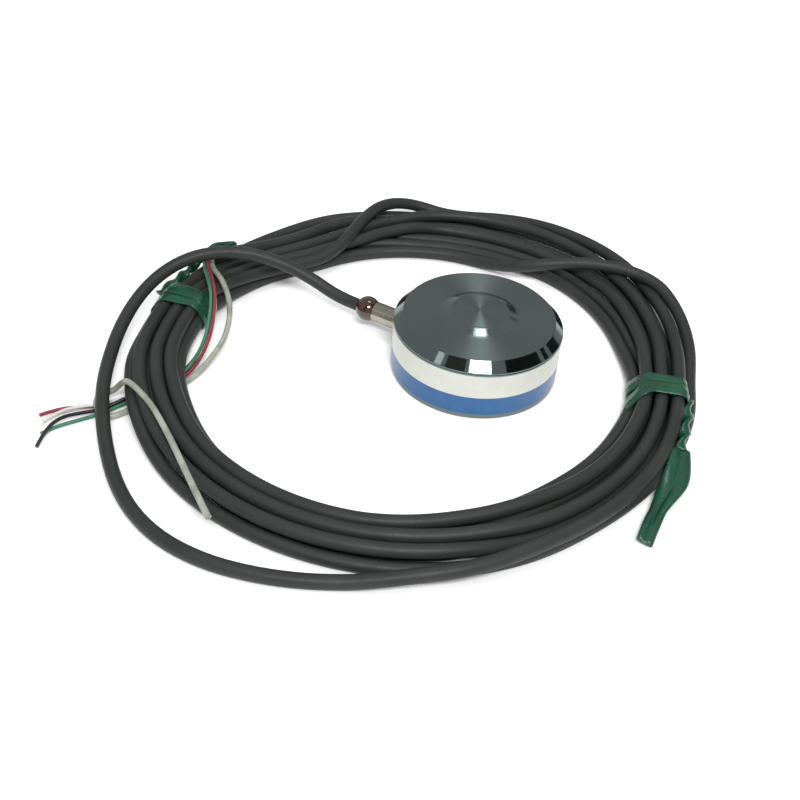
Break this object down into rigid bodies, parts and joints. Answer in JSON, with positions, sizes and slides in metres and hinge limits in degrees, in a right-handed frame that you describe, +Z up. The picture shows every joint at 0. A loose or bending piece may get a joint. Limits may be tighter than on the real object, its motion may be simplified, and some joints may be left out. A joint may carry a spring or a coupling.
{
  "type": "compression load cell",
  "caption": "Low round steel compression load cell with a load button on top, a side gland and its thin signal cable coiled around it and held by twisted ties.",
  "frame": {"origin": "centre of the cell's flat base, at the floor", "axes": "+Z up along the cell's axis and the load direction; -Y is the front"},
  "size_m": [0.1407, 0.1346, 0.0156],
  "materials": {
    "cell_steel": "turned, satin",
    "cover_steel": "turned, satin",
    "cover_resin": "cast resin",
    "label_foil": "printed foil, white above blue, satin",
    "gauge_film": "translucent film with etched foil",
    "board": "laminate",
    "wire": "bare copper",
    "solder": "bright solder",
    "resistor": "chip with plated ends",
    "gland_steel": "drawn tube, satin",
    "anchor_brass": "turned",
    "seal_resin": "brown cast resin",
    "cable_jacket": "satin",
    "core_red": "satin",
    "core_white": "satin",
    "core_black": "satin",
    "core_green": "satin",
    "sleeve": "soft sleeve over the screen",
    "tie": "coated twist tie, dark green"
  },
  "bodies": {
    "root": {"cell_body": "cell_steel", "base_cover": "cover_steel", "cover_seal": "cover_resin", "side_label": "label_foil", "terminal_board": "board", "gauge_wires": "wire", "solder_joints": "solder", "zero_resistor": "resistor", "span_resistor": "resistor", "gland_tube": "gland_steel", "cable_anchor": "anchor_brass", "seal_bead": "seal_resin", "cable_entry": "cable_jacket", "cable_lead": "cable_jacket", "cable_coil": "cable_jacket", "screen_sleeve": "sleeve", "tie_right": "tie", "tie_left": "tie", "strain_gauge_1": "gauge_film", "strain_gauge_2": "gauge_film", "strain_gauge_3": "gauge_film", "strain_gauge_4": "gauge_film", "inner_core_red": "core_red", "tail_red": "core_red", "inner_core_white": "core_white", "tail_white": "core_white", "inner_core_black": "core_black", "tail_black": "core_black", "inner_core_green": "core_green", "tail_green": "core_green"}
  },
  "joints": []
}
